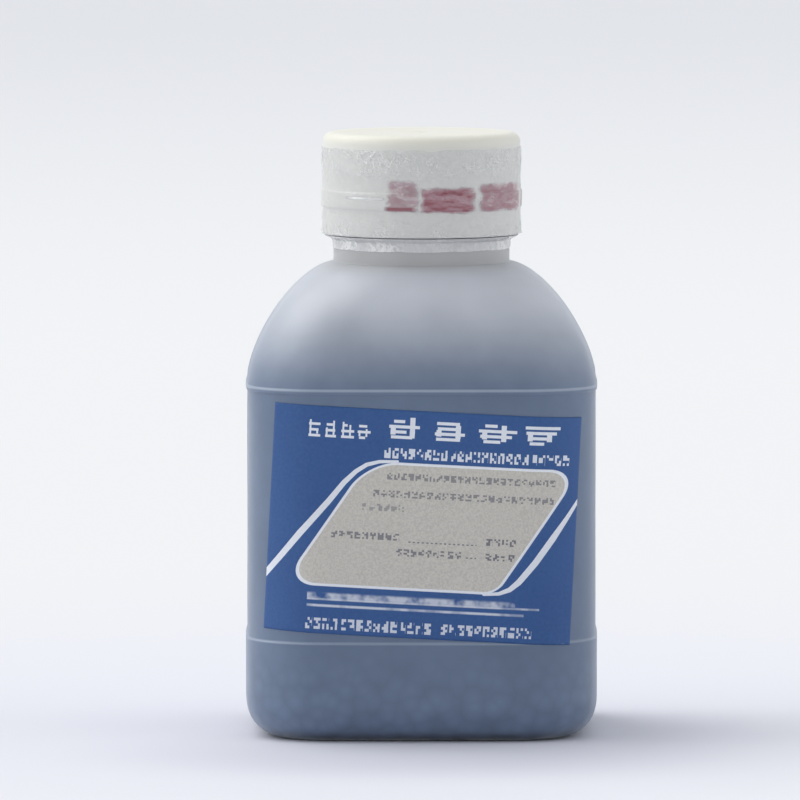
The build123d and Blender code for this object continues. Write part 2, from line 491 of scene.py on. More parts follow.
def labelPaperNodes(bench):
    look = labelPrint
    place = bench.node("ShaderNodeUVMap", {"uv_map": "labelPlace"})
    flatX, flatY, _ = bench.parts(place)
    across = (flatX - 0.5) * 100.0
    up = (flatY - 0.5) * 100.0
    at = bench.place()
    fibre = bench.grain(at, 0.8, 4.0, 0.65)
    cloud = bench.grain(at, 14.0, 3.0)
    ink = bench.mix(cloud * 0.7, look["blue"], look["deepBlue"])
    ink = bench.mix(fibre * 0.22, ink, look["fibre"])
    edge = panelEdge(across, up)
    speckle = bench.grain(at, 0.5, 2.0, 0.7).rise(0.4, 0.64)
    panel = bench.mix(speckle * 0.5, look["panel"], look["panelDark"])
    colour = bench.mix(edge < 0.0, ink, panel)

    def flecked(lines):
        rows = look["fleckRows"]
        return [
            specks(bench, across, up, box, columns, rows, seed) * strength
            for columns, seed, strength, box in lines
        ]

    white = [edge.between(-0.28, 0.36)]
    white += [swoosh(across, up, points) for points in look["stripes"]]
    white += [
        glyphs(bench, across, up, box, count, seed, rows, posts)
        for count, seed, rows, posts, box in look["heads"]
    ]
    white += flecked(look["whiteLines"])
    worn = bench.grain(at, 3.5, 2.0).rise(0.38, 0.6)
    for middle, left, right, half, strength, share in look["rules"]:
        rule = across.between(left, right) * up.stripe(middle, half * 0.5, half * 1.5)
        white.append(rule * (worn * share + strength))
    colour = bench.mix(strongest(white) * (0.82 + fibre * 0.2), colour, look["white"])

    dots = (across * 0.9).op("FRACT").between(0.0, 0.5)
    leaders = [across.between(left, right) * up.near(level, 0.16) for left, right, level in look["dots"]]
    dark = strongest(flecked(look["darkLines"]) + [dots * strongest(leaders)])
    colour = bench.mix(dark * 0.75, colour, look["ink"])
    return {
        "Base Color": colour,
        "Roughness": 0.48 + fibre * 0.2,
        "Specular IOR Level": 0.35,
        "Normal": bench.bump(fibre * 0.5 + cloud, 0.25, 0.0002),
    }


filmLook = {
    "blocks": [  # left and right along the arc, foot, head, strength
        (-8.4, -1.0, 131.0, 138.6, 0.55),
        (0.2, 13.6, 130.8, 136.7, 1.0),
        (16.0, 33.0, 130.9, 137.4, 0.8),
        (36.0, 47.0, 131.2, 137.0, 0.6),
    ],
    "bar": (-10.0, -1.2, 131.7, 0.55),  # left, right, middle and half its height
    "glint": (-23.0, -8.6, 134.2, 0.55),  # a flat fold that catches the light
    "film": linear(232, 232, 234),
    "shine": linear(252, 252, 250),
    "red": linear(120, 22, 48),
    "pink": linear(202, 140, 156),
    "creaseFoot": (124.4, 130.8),
    "creaseHead": (137.5, 143.5),
}


def shrinkFilmNodes(bench):
    look = filmLook
    at = bench.place()
    x, y, z = bench.parts(at)
    around = x.op("ARCTAN2", y * -1.0) * capHigh.x
    flat = bench.node("ShaderNodeCombineXYZ", None, {0: around, 1: z * 3.2, 2: 0.0})
    streak = bench.grain(flat, 4.2, 2.0)
    blur = (bench.grain(at, 2.4, 3.0) - 0.5) * 3.0
    smeared, raised = around + blur, z + blur * 0.4
    blocks = []
    for left, right, foot, head, strength in look["blocks"]:
        wide = smeared.soft(left - 1.0, left + 1.0) * (1.0 - smeared.soft(right - 1.2, right + 1.0))
        tall = raised.soft(foot - 0.5, foot + 0.5) * (1.0 - raised.soft(head - 0.7, head + 0.7))
        blocks.append(wide * tall * strength)
    halo = strongest(blocks)
    left, right, middle, half = look["bar"]
    bar = around.soft(left, left + 1.5) * (1.0 - around.soft(right - 1.5, right))
    bar = bar * z.stripe(middle, half * 0.4, half * 1.5)
    ink = (halo * (0.2 + 0.8 * streak.soft(0.34, 0.66))).op("MAXIMUM", bar)
    fold = bench.node("ShaderNodeCombineXYZ", None, {0: around, 1: z * 0.9 + around * 0.25, 2: 4.0})
    ridge = (bench.grain(fold, 2.6, 3.0, 0.6) - 0.5).op("ABSOLUTE")
    gathered = (1.0 - z.soft(*look["creaseFoot"])).op("MAXIMUM", z.soft(*look["creaseHead"]))
    patch = bench.grain(at, 9.0, 1.0).soft(0.42, 0.62)
    crease = (1.0 - ridge.soft(0.0, 0.09)) * (0.12 + 0.88 * gathered) * (0.2 + 0.8 * patch)
    slack = 1.0 - z.soft(sleeveLow.z - 0.6, sleeveLow.z + 0.6)
    fine = bench.grain(at, 2.2, 4.0, 0.6)
    left, right, middle, half = look["glint"]
    glint = around.soft(left, left + 3.0) * (1.0 - around.soft(right - 2.0, right))
    glint = glint * z.stripe(middle, 0.1, half) * (0.4 + 0.6 * patch)
    colour = bench.mix(halo * 0.8, look["film"], look["pink"])
    # painted highlights: the glint band and the crease lines are lightened towards shine
    colour = bench.mix(glint.op("MAXIMUM", crease * 0.7), colour, look["shine"])
    colour = bench.mix(ink * 0.92, colour, look["red"])
    cover = 0.14 + fine * 0.08 + crease * 0.22 + slack * 0.52
    cover = cover + halo * 0.16 + ink * 0.75 + glint * 0.7
    return {
        "Base Color": colour,
        "Alpha": cover.op("MULTIPLY", 1.0, clamp=True),
        "Roughness": 0.10 + fine * 0.12,
        "Specular IOR Level": 0.9,
        "Coat Weight": 0.6,
        "Coat Roughness": 0.06,
        "Normal": bench.bump(fine + crease * 0.2, 0.3, 0.0003),
    }


materials = {
    "bottle": finish("milkyPlastic", milkyPlasticNodes),
    "beads": finish("beadGlass", beadGlassNodes),
    "core": finish("packedBeads", packedBeadsNodes),
    "cap": finish("capWhite", capWhiteNodes),
    "stopper": finish("stopperPlastic", stopperPlasticNodes),
    "liner": finish("linerFoam", linerFoamNodes),
    "label": finish("labelPaper", labelPaperNodes),
    "film": finish("shrinkFilm", shrinkFilmNodes),
}
print("finishes made:", len(materials))


# Meshes from rings of points.

def pieceFrom(name, points, faces, material, uvs=None):
    mesh = bpy.data.meshes.new(name)
    mesh.from_pydata([tuple(p) for p in np.asarray(points) * mm], [], faces)
    mesh.materials.append(material)
    mesh.polygons.foreach_set("use_smooth", [True] * len(mesh.polygons))
    if uvs is not None:
        layer = mesh.uv_layers.new(name="labelPlace")
        corners = np.array([uvs[loop.vertex_index] for loop in mesh.loops])
        layer.data.foreach_set("uv", corners.ravel())
    mesh.update()
    piece = bpy.data.objects.new(name, mesh)
    bpy.context.scene.collection.objects.link(piece)
    return piece


def ringFaces(ringCount, size, loop=False, flip=False):
    faces = []
    for i in range(ringCount if loop else ringCount - 1):
        low, high = i * size, ((i + 1) % ringCount) * size
        for j in range(size):
            k = (j + 1) % size
            face = (low + j, low + k, high + k, high + j)
            faces.append(face[::-1] if flip else face)
    return faces


def poleFaces(ringStart, size, pole, flip):
    faces = []
    for j in range(size):
        k = (j + 1) % size
        face = (ringStart + j, ringStart + k, pole)
        faces.append(face[::-1] if flip else face)
    return faces


def roundRing(angles, radius, height):
    return np.stack([radius * np.cos(angles), radius * np.sin(angles), np.full_like(angles, height)], 1)


# Turns (radius, height) points, which run from axis to axis or close on themselves.
def turned(name, profile, material, sides):
    angles = np.linspace(0, 2 * math.pi, sides, endpoint=False)
    startsOnAxis, endsOnAxis = profile[0][0] < 1e-6, profile[-1][0] < 1e-6
    body = [p for p in profile if p[0] >= 1e-6]
    points = [
        (radius * math.cos(a), radius * math.sin(a), height)
        for radius, height in body for a in angles
    ]
    loop = not (startsOnAxis or endsOnAxis)
    faces = ringFaces(len(body), sides, loop)
    if startsOnAxis:
        points.append((0, 0, profile[0][1]))
        faces += poleFaces(0, sides, len(points) - 1, True)
    if endsOnAxis:
        points.append((0, 0, profile[-1][1]))
        faces += poleFaces((len(body) - 1) * sides, sides, len(points) - 1, False)
    return pieceFrom(name, points, faces, material)


def bend(corner, radius, start, sweep, steps=6):  # points of an arc, for a profile
    made = []
    for step in range(steps + 1):
        angle = math.radians(start + sweep * step / steps)
        made.append((corner[0] + radius * math.cos(angle), corner[1] + radius * math.sin(angle)))
    return made


# Bottle.

def eased(value, low, high):
    t = np.clip((value - low) / (high - low), 0, 1)
    return t * t * (3 - 2 * t)


def outline(angles, half, corner, bow):  # distance from the axis at each angle
    back = bow - half
    centre = (math.sqrt(max(2 * (bow - corner) ** 2 - back**2, 0)) - back) / 2  # of a corner
    swing = math.atan2(centre, centre + back)
    fold = np.abs((angles + math.pi / 4) % (math.pi / 2) - math.pi / 4)
    side = -back * np.cos(fold) + np.sqrt(bow**2 - (back * np.sin(fold)) ** 2)
    lean = np.arctan2(side * np.sin(fold), side * np.cos(fold) + back)
    reach = centre * (np.cos(fold) + np.sin(fold))
    curve = reach + np.sqrt(np.maximum(corner**2 - centre**2 * (np.cos(fold) - np.sin(fold)) ** 2, 0))
    return np.where(lean <= swing, side, curve)


def wallInset(height):  # the label panel is set in between its ribs
    b = bottleShape
    step = b["ribStep"]
    lower = eased(height, b["lowerRib"] - step, b["lowerRib"])
    upper = eased(height, b["upperRib"], b["upperRib"] + step)
    return b["panelDepth"] * (lower - upper)


def shoulderRing(angle, inset):
    b = bottleShape
    foot = b["upperRib"] + b["lip"]
    rise = b["neckFoot"] - inset - foot
    spread = b["half"] - b["neckRadius"] - b["neckMargin"]
    power = 2 / b["shoulderPower"]
    height = foot + rise * math.sin(angle) ** power
    inBy = inset + spread * (1 - max(math.cos(angle), 0) ** power)
    half = b["half"] - inBy
    return height, half, min(b["corner"] - inset, half - b["neckMargin"]), b["bow"] - inset


def sideRings(inset, floor):  # (height, half, corner, bow) up one wall
    b = bottleShape
    lower, upper, head = b["lowerRib"], b["upperRib"], b["upperRib"] + b["lip"]
    roundness = b["footRound"] - inset
    rings = []
    for step in range(11):
        a = math.radians(9 * step)
        back = roundness * (1 - math.sin(a))
        rings.append((floor + roundness * (1 - math.cos(a)), inset + back))
    heights = list(np.linspace(floor + roundness + 2, lower - 1.4, 6))
    heights += [lower + d for d in (-0.75, -0.5, -0.4, -0.3, -0.2, -0.1, -0.03, 0.12, 0.5)]
    heights += list(np.linspace(lower + 2, upper - 2, 22))
    heights += [upper + d for d in (-0.5, -0.1, 0.03, 0.1, 0.2, 0.3, 0.4, 0.5, 0.75)]
    rings += [(height, inset + float(wallInset(height))) for height in heights]
    rings.append((head - 0.12, inset))
    made = [(height, b["half"] - back, b["corner"] - back, b["bow"] - back) for height, back in rings]
    steps = 30
    for step in range(steps + 1):
        height, half, corner, bow = shoulderRing(math.radians(90 * step / steps), inset)
        ledge = b["ledge"] * (1 - float(eased(height, head, head + b["ledgeFade"])))
        if step == 0:  # the lip's top edge, then the ledge in from it
            made.append((height + 0.08, half - ledge * 0.15, corner - ledge * 0.15, bow))
            made.append((height + 0.22, half - b["ledge"], corner - b["ledge"], bow))
        else:
            made.append((height, half - ledge, corner - ledge, bow))
    return made


def ringPoints(angles, height, half, corner, bow, ripple=0.0, seam=0.0):
    radius = outline(angles, half, corner, bow)
    if ripple or seam:
        around = [Vector((math.cos(a) * 2.0, math.sin(a) * 2.0, height / 21.0)) for a in angles]
        sway = np.array([noise.noise(at) for at in around])
        radius = radius - ripple * (0.5 + 0.5 * sway)
        offSeam = np.abs((angles + math.pi / 2) % math.pi - math.pi / 2) * half
        radius = radius + seam * np.clip(1 - offSeam / (bottleShape["seamWidth"] / 2), 0, 1)
    return roundRing(angles, radius, height)


def bottleShell():
    b = bottleShape
    even = np.linspace(0, 2 * math.pi, b["sides"], endpoint=False)
    extra = np.radians([0.12, 0.24, 0.6])  # closer together at the mould seams
    atSeams = [extra, 2 * math.pi - extra, math.pi + extra, math.pi - extra]
    angles = np.unique(np.concatenate([even] + atSeams))
    hollow = b["half"] - b["pushUpInset"]
    hollowCorner = b["corner"] - b["pushUpInset"]
    rings = []

    def add(height, half, corner, bow=b["bow"], ripple=0.0, seam=0.0):
        rings.append(ringPoints(angles, height, half, corner, bow, ripple, seam))

    depth = b["pushUpDepth"]
    for part in (0.3, 0.6, 0.85):  # ceiling of the hollow under the base
        add(depth - 0.15 * (1 - part), hollow * part, hollowCorner * part)
    turnRadius = depth / 2
    for step in range(6):
        a = math.radians(90 * step / 5)
        inBy = turnRadius * (1 - math.sin(a))
        add(depth - turnRadius * (1 - math.cos(a)), hollow - inBy, hollowCorner - inBy)
    for height, more in ((0.3, 0.0), (0.08, 0.12), (0.0, 0.4)):
        add(height, hollow + more, hollowCorner + more)
    for height, half, corner, bow in sideRings(0.0, 0.0):
        uneven = 0.25 < height < b["neckFoot"] - 3
        onPanel = b["lowerRib"] < height < b["upperRib"]
        onShoulder = height > b["upperRib"] + b["lip"] + 2
        seam = b["seamHeight"] if onPanel or onShoulder else 0.0
        add(height, half, corner, bow, b["ripple"] if uneven else 0.0, seam)
    neck, top, foot, r = b["neckRadius"], bottleHigh.z, b["neckFoot"], b["rimRound"]
    bore = neck - b["neckWall"]
    around = [(neck + 0.12, foot + 0.12), (neck + 0.03, foot + 0.35), (neck, foot + 0.8)]
    around += [(neck, h) for h in np.linspace(foot + 3, top - 3, 8)]
    around += bend((neck - r, top - r), r, 0, 90, 5) + bend((bore + r, top - r), r, 90, 90, 5)
    around += [(bore, h) for h in np.linspace(top - 3, foot, 8)] + [(bore, foot - 1.6)]
    rings += [roundRing(angles, radius, height) for radius, height in around]
    for height, half, corner, bow in sideRings(b["wall"], b["wall"])[-2::-1]:
        add(height, half, corner, bow)
    wall = b["wall"]
    for part, rise in b["innerFloor"]:
        add(wall + rise, (hollow + wall) * part, (hollowCorner + wall) * part)
    size = len(angles)
    points = np.concatenate(rings + [[[0, 0, depth - 0.2], [0, 0, wall + b["innerFloor"][-1][1]]]])
    faces = ringFaces(len(rings), size)
    faces += poleFaces(0, size, len(points) - 2, True)
    faces += poleFaces((len(rings) - 1) * size, size, len(points) - 1, False)
    return pieceFrom("bottleShell", points, faces, materials["bottle"])


bottle = bottleShell()
print("bottle:", len(bottle.data.polygons), "faces")


# Screw threads.

threadShape = {
    "pitch": 4.233,
    "depth": 1.1,
    "root": 1.9,
    "crest": 1.0,
    "bury": 0.3,
    "neckTurns": 1.75,
    "capTurns": 1.6,
    "belowRim": 4.0,
    "runOut": 0.12,  # turns over which each end fades
    "capBore": 23.5,
    "stepsPerTurn": 72,
}


def threadRidge(name, radius, outward, foot, turns, material):
    t = threadShape
    side = 1 if outward else -1
    count = int(turns * t["stepsPerTurn"])
    rings = []
    for step in range(count + 1):
        gone = step / t["stepsPerTurn"]
        fade = min(1.0, gone / t["runOut"], (turns - gone) / t["runOut"])
        fade = 0.02 + 0.98 * math.sin(fade * math.pi / 2)
        stand = t["depth"] * fade
        root, crest = t["root"] / 2, t["crest"] / 2
        section = [
            (-t["bury"], -root), (0.0, -root), (stand * 0.75, -crest - 0.12), (stand, -crest + 0.18),
            (stand, crest - 0.18), (stand * 0.75, crest + 0.12), (0.0, root), (-t["bury"], root),
        ]
        a = 2 * math.pi * gone
        height = foot + t["pitch"] * gone
        ring = [(radius + side * out, height + up) for out, up in section]
        rings.append([(r * math.cos(a), r * math.sin(a), z) for r, z in ring])
    size = len(rings[0])
    points = np.concatenate([np.array(r) for r in rings])
    faces = ringFaces(len(rings), size, flip=outward)
    first, last = list(range(size)), list(range(count * size, (count + 1) * size))
    faces += [first, last[::-1]] if outward else [first[::-1], last]
    return pieceFrom(name, points, faces, material)


def threads():
    t = threadShape
    foot = bottleHigh.z - t["belowRim"] - t["neckTurns"] * t["pitch"]
    neck, bore = bottleShape["neckRadius"], t["capBore"]
    return (
        threadRidge("neckThread", neck, True, foot, t["neckTurns"], materials["bottle"]),
        threadRidge("capThread", bore, False, foot - t["pitch"] / 2, t["capTurns"], materials["cap"]),
    )


neckThread, capThread = threads()
print("threads:", len(neckThread.data.polygons) + len(capThread.data.polygons), "faces")


# Cap, liner and stopper.

capShape = {
    "bore": threadShape["capBore"],
    "radius": 24.8,
    "bandFoot": 6.6,
    "bandWidth": 4.6,
    "bandStand": 0.35,
    "topRound": 2.5,
    "footRound": 0.35,
    "dish": 0.18,  # shallow hollow in the crown
    "dishRadius": 18.5,
    "gateRadius": 1.3,
}


def screwCap():
    c = capShape
    foot, top, under = capLow.z, capHigh.z, linerHigh.z
    r, stand, radius, bore = c["footRound"], c["bandStand"], c["radius"], c["bore"]
    low, high = foot + c["bandFoot"], foot + c["bandFoot"] + c["bandWidth"]
    gate, topRound, inDish = c["gateRadius"], c["topRound"], c["dishRadius"]
    floor = top - c["dish"]  # of the shallow hollow in the crown
    profile = [(0, under), (8.0, under), (bore - 0.4, under), (bore - 0.1, under - 0.1)]
    profile += [(bore, under - 0.4)] + [(bore, h) for h in np.linspace(under - 2, foot + 1, 6)]
    profile += bend((bore + r, foot + r), r, 180, 90, 4) + bend((radius - r, foot + r), r, 270, 90, 4)
    profile += [(radius, foot + 2), (radius, low - 1.5), (radius, low - 0.15), (radius + 0.05, low)]
    profile += [(radius + stand - 0.05, low + stand), (radius + stand, low + stand + 0.15)]
    profile += [(radius + stand, low + 1.5), (radius + stand, high - 1.5)]
    profile += [(radius + stand, high - stand - 0.15), (radius + stand - 0.05, high - stand)]
    profile += [(radius + 0.05, high), (radius, high + 0.15), (radius, high + 2), (radius, high + 6)]
    profile += bend((radius - topRound, top - topRound), topRound, 0, 90, 12)
    profile += [(inDish + 0.8, top), (inDish, top - c["dish"] * 0.3), (inDish - 1.0, floor), (10.0, floor)]
    profile += [(gate + 1.2, floor), (gate + 0.3, floor - 0.25), (gate, floor - 0.28)]
    profile += [(gate * 0.6, floor - 0.2), (gate * 0.45, floor + 0.02), (0, floor + 0.04)]
    return turned("screwCap", profile, materials["cap"], 160)


def sealingDisc():
    low, high, edge, r = linerLow.z, linerHigh.z, linerHigh.x, 0.25
    press = bottleShape["neckRadius"] - bottleShape["neckWall"] / 2  # where the rim presses in
    profile = [(0, low), (8, low), (press - 1.6, low), (press - 0.9, low + 0.06)]
    profile += [(press, low + 0.1), (press + 0.9, low + 0.06), (press + 1.3, low + 0.02), (edge - 0.3, low)]
    profile += bend((edge - r, low + r), r, 270, 90, 4) + bend((edge - r, high - r), r, 0, 90, 4)
    profile += [(12, high), (0, high)]
    return turned("sealingDisc", profile, materials["liner"], 128)


cap = screwCap()
disc = sealingDisc()


# A merged copy of a frame mesh, smooth but for its edges.
def smoothCopy(node, name, material, angle=35.0):
    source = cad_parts[node]
    mesh = source.data.copy()
    mesh.name = name
    mesh.materials.clear()
    mesh.materials.append(material)
    piece = bpy.data.objects.new(name, mesh)
    bpy.context.scene.collection.objects.link(piece)
    work = bmesh.new()
    work.from_mesh(mesh)
    bmesh.ops.remove_doubles(work, verts=work.verts, dist=0.000004)
    for face in work.faces:
        face.smooth = True
    for edge in work.edges:
        if len(edge.link_faces) == 2 and edge.calc_face_angle(0) > math.radians(angle):
            edge.smooth = False
    work.to_mesh(mesh)
    work.free()
    return piece


stopper = smoothCopy("inner_stopper", "innerStopper", materials["stopper"])
print("cap, liner and stopper made")


# Silica gel.

gelShape = {
    "wall": bottleShape["wall"],
    "beadSize": 3.5,
    "spacing": 3.05,
    "sizeSpread": 0.22,
    "sink": 1.1,  # how far some beads sit behind the others
    "coreGap": 4.2,  # from the wall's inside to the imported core
    "coreHeight": 0.97,  # share of the bed's height
    "endMargin": 0.55,  # of a bead, from the bed's ends to its outer beads
    "density": 260000.0,  # tries for a square metre
    "steps": 72,
    "rows": 60,
    "seed": 7,
}


def bedPlan(height, inset):  # the bed's outline at a height, drawn in
    b = bottleShape
    foot = b["upperRib"] + b["lip"]
    if height <= foot:
        drawn = inset + float(wallInset(height))
        away = b["footRound"] - height  # below the top of the foot's curve
        if away > 0:
            radius = max(b["footRound"] - inset, 0.1)
            drawn += radius - math.sqrt(max(radius**2 - min(away, radius) ** 2, 0))
        return b["half"] - drawn, b["corner"] - drawn, b["bow"] - drawn
    power = 2 / b["shoulderPower"]
    rise = b["neckFoot"] - inset - foot
    sine = min(max((height - foot) / rise, 0), 1) ** (1 / power)
    spread = b["half"] - b["neckRadius"] - b["neckMargin"]
    half = b["half"] - inset - spread * (1 - math.sqrt(max(1 - sine**2, 0)) ** power)
    return half, min(b["corner"] - inset, half - b["neckMargin"]), b["bow"] - inset


def bedWall(name, start, sweep, inset, material):  # closed by two lids if it goes right round
    g = gelShape
    margin = g["beadSize"] * g["endMargin"]
    low, high = gelLow.z + margin, gelHigh.z - margin
    closed = sweep == 360.0
    parts = np.linspace(0, 1, g["steps"] * 2 + 1)[:-1] if closed else np.linspace(0, 1, g["steps"] + 1)
    angles = np.radians(start + sweep * parts)
    rings = [ringPoints(angles, h, *bedPlan(h, inset)) for h in np.linspace(low, high, g["rows"])]
    size = len(angles)
    points = np.concatenate(rings)
    faces = ringFaces(len(rings), size)
    if closed:
        points = np.concatenate([points, [[0, 0, low], [0, 0, high]]])
        faces += poleFaces(0, size, len(points) - 2, True)
        faces += poleFaces((len(rings) - 1) * size, size, len(points) - 1, False)
    else:
        faces = [face for face in faces if face[0] % size < size - 1]
    return pieceFrom(name, points, faces, material)


def bedFace(name, height, inset, material, up):
    angles = np.linspace(0, 2 * math.pi, 96, endpoint=False)
    edge = ringPoints(angles, height, *bedPlan(height, inset))
    rings = [edge * np.array([part, part, 1.0]) for part in (0.02, 0.25, 0.5, 0.75, 1.0)]
    return pieceFrom(name, np.concatenate(rings), ringFaces(len(rings), len(angles), flip=up), material)


def beadTree():
    tree = bpy.data.node_groups.new("beadLayer", "GeometryNodeTree")
    bench = Bench(tree)
    kinds = {
        "Surface": "Geometry", "Spacing": "Float", "Bead Size": "Float", "Size Spread": "Float",
        "Sink": "Float", "Seed": "Int", "Finish": "Material",
    }
    for name, kind in kinds.items():
        tree.interface.new_socket(name, in_out="INPUT", socket_type="NodeSocket" + kind)
    tree.interface.new_socket("Beads", in_out="OUTPUT", socket_type="NodeSocketGeometry")
    given = tree.nodes.new("NodeGroupInput")
    given = {socket.name: Wire(bench, socket) for socket in given.outputs if socket.name}
    seed = given["Seed"]

    def chance(low, high, seed):  # one random number for each bead
        inputs = {2: low, 3: high, "Seed": seed}
        return bench.node("FunctionNodeRandomValue", {"data_type": "FLOAT"}, inputs, output=1)

    points = bench.node("GeometryNodeDistributePointsOnFaces", {"distribute_method": "POISSON"}, {
        "Mesh": given["Surface"], "Distance Min": given["Spacing"],
        "Density Max": gelShape["density"], "Seed": seed,
    })
    facing = Wire(bench, points.socket.node.outputs["Normal"])
    depth = chance(0.0, given["Sink"], seed)
    inward = {0: facing, "Scale": depth * -1.0}
    back = bench.node("ShaderNodeVectorMath", {"operation": "SCALE"}, inward)
    settled = bench.node("GeometryNodeSetPosition", None, {"Geometry": points, "Offset": back})
    bead = bench.node("GeometryNodeMeshUVSphere", None, {"Segments": 8, "Rings": 5, "Radius": 0.5})
    spread = chance(1.0 - given["Size Spread"], 1.0, seed + 1.0)
    fullTurn = {1: (6.28, 6.28, 6.28), "Seed": seed + 2.0}
    turn = bench.node("FunctionNodeRandomValue", {"data_type": "FLOAT_VECTOR"}, fullTurn)
    placed = bench.node("GeometryNodeInstanceOnPoints", None, {
        "Points": settled, "Instance": bead, "Rotation": turn, "Scale": given["Bead Size"] * spread,
    })
    tint = {"Geometry": placed, "Name": "beadTint", "Value": chance(0.0, 1.0, seed + 3.0)}
    settings = {"data_type": "FLOAT", "domain": "INSTANCE"}
    tinted = bench.node("GeometryNodeStoreNamedAttribute", settings, tint)
    solid = bench.node("GeometryNodeRealizeInstances", None, {"Geometry": tinted})
    smooth = bench.node("GeometryNodeSetShadeSmooth", None, {"Geometry": solid})
    dressed = {"Geometry": smooth, "Material": given["Finish"]}
    coloured = bench.node("GeometryNodeSetMaterial", None, dressed)
    result = tree.nodes.new("NodeGroupOutput")
    tree.links.new(coloured.socket, result.inputs[0])
    return tree


def grown(tree, carrier, name, values):  # runs a tree on a mesh, keeps its plain result
    modifier = carrier.modifiers.new("layer", "NODES")
    modifier.node_group = tree
    for item in tree.interface.items_tree:
        if item.in_out == "INPUT" and item.name in values:
            modifier[item.identifier] = values[item.name]
    carrier.update_tag()
    seen = carrier.evaluated_get(bpy.context.evaluated_depsgraph_get())
    mesh = bpy.data.meshes.new_from_object(seen)
    mesh.name = name
    carrier.modifiers.remove(modifier)
    bpy.data.objects.remove(carrier)
    piece = bpy.data.objects.new(name, mesh)
    bpy.context.scene.collection.objects.link(piece)
    return piece


def bedPieces():
    g, finish = gelShape, materials["beads"]
    tree = beadTree()
    outer = g["wall"] + 0.12 + g["beadSize"] / 2  # where the outer beads' middles are
    top = gelHigh.z - g["beadSize"] * g["endMargin"]
    foot = gelLow.z + g["beadSize"] * 0.9 + 1.4
    carriers = [
        ("beadsRight", bedWall("right", -90.0, 180.0, outer, finish)),
        ("beadsLeft", bedWall("left", 90.0, 180.0, outer, finish)),
        ("beadsTop", bedFace("top", top, outer, finish, False)),
        ("beadsFoot", bedFace("foot", foot, outer + 3.0, finish, True)),
    ]
    made = []
    for order, (name, carrier) in enumerate(carriers):
        made.append(grown(tree, carrier, name, {
            "Spacing": g["spacing"] * mm, "Bead Size": g["beadSize"] * mm,
            "Size Spread": g["sizeSpread"], "Sink": g["sink"] * mm,
            "Seed": g["seed"] + 10 * order, "Finish": finish,
        }))
        print(name + ":", len(made[-1].data.polygons), "faces")
    core = bedWall("packedCore", 0.0, 360.0, g["wall"] + g["coreGap"], materials["core"])
    core.data.transform(Matrix.Diagonal((1, 1, g["coreHeight"], 1)))
    return made, core


beads, core = bedPieces()


# Label.

labelShape = {
    "span": 76.2,
    "height": 56.6,
    "rise": 29.4,
    "offset": 0.2,
    "tilt": -3.0,
    "thickness": 0.12,
    "columns": 150,
    "rows": 90,
}


def frontDepth(x, height, stand):  # how far forward the wall is there
    b = bottleShape
    drawn = wallInset(height) - stand
    half, corner, bow = b["half"] - drawn, b["corner"] - drawn, b["bow"] - drawn
    back = bow - half
    centre = (np.sqrt(2 * (bow - corner) ** 2 - back**2) - back) / 2
    swing = np.arctan2(centre, centre + back)
    flat = np.sqrt(bow**2 - x**2) - back
    away = np.clip(np.abs(x) - centre, 0, corner * 0.999)
    curved = centre + np.sqrt(corner**2 - away**2)
    return np.where(np.abs(x) <= bow * np.sin(swing), flat, curved)


def paperLabel():
    s = labelShape
    across = np.linspace(-s["span"] / 2, s["span"] / 2, s["columns"])
    up = np.linspace(-s["height"] / 2, s["height"] / 2, s["rows"])
    u, v = np.meshgrid(across, up)
    tilt = math.radians(s["tilt"])
    x = s["offset"] + u * math.cos(tilt) - v * math.sin(tilt)
    z = bottleShape["lowerRib"] + s["rise"] + u * math.sin(tilt) + v * math.cos(tilt)
    spots = zip(u.ravel(), v.ravel())
    lift = np.array([noise.noise(Vector((a / 13.0, b / 13.0, 3.0))) for a, b in spots]).reshape(u.shape)
    outer = frontDepth(x, z, s["thickness"] - 0.03 + 0.02 * lift)
    inner = frontDepth(x, z, 0.0) - 0.04
    front = np.stack([x, -outer, z], -1).reshape(-1, 3)
    behind = np.stack([x, -inner, z], -1).reshape(-1, 3)
    rows, columns = s["rows"], s["columns"]
    count = rows * columns
    faces = []
    for i in range(rows - 1):
        for j in range(columns - 1):
            a = i * columns + j
            face = (a, a + 1, a + columns + 1, a + columns)
            faces.append(face)
            faces.append(tuple(count + p for p in face[::-1]))
    rim = list(range(columns)) + [i * columns + columns - 1 for i in range(1, rows)]
    rim += [(rows - 1) * columns + j for j in range(columns - 2, -1, -1)]
    rim += [i * columns for i in range(rows - 2, 0, -1)]
    for a, b in zip(rim, rim[1:] + rim[:1]):
        faces.append((b, a, count + a, count + b))
    flat = np.stack([u / 100 + 0.5, v / 100 + 0.5], -1).reshape(-1, 2)
    points, places = np.concatenate([front, behind]), np.concatenate([flat, flat])
    return pieceFrom("paperLabel", points, faces, materials["label"], places)


label = paperLabel()
print("label:", len(label.data.polygons), "faces")


# Shrink film.

filmShape = {
    "gap": 0.03,
    "thickness": 0.07,
    "sleeveSides": 480,
    "collarSides": 360,
    "sleeveRows": 110,
    "collarRows": 30,
    "wrinkle": 0.42,
    "topWander": 0.5,
}


def capRadiusAt(height):
    c = capShape
    low, high = capLow.z + c["bandFoot"], capLow.z + c["bandFoot"] + c["bandWidth"]
    on = eased(height, low, low + c["bandStand"]) - eased(height, high - c["bandStand"], high)
    return c["radius"] + c["bandStand"] * on


def crease(a, height, size, seed):  # 1 along chance lines, falling off beside them
    at = Vector((math.cos(a) * 25 / size, math.sin(a) * 25 / size, height / (size * 1.8) + seed))
    return max(0.0, 1 - abs(noise.noise(at)) * 5)


def waver(a, size, seed):  # chance wander of an edge
    return noise.noise(Vector((math.cos(a) * size, math.sin(a) * size, seed)))


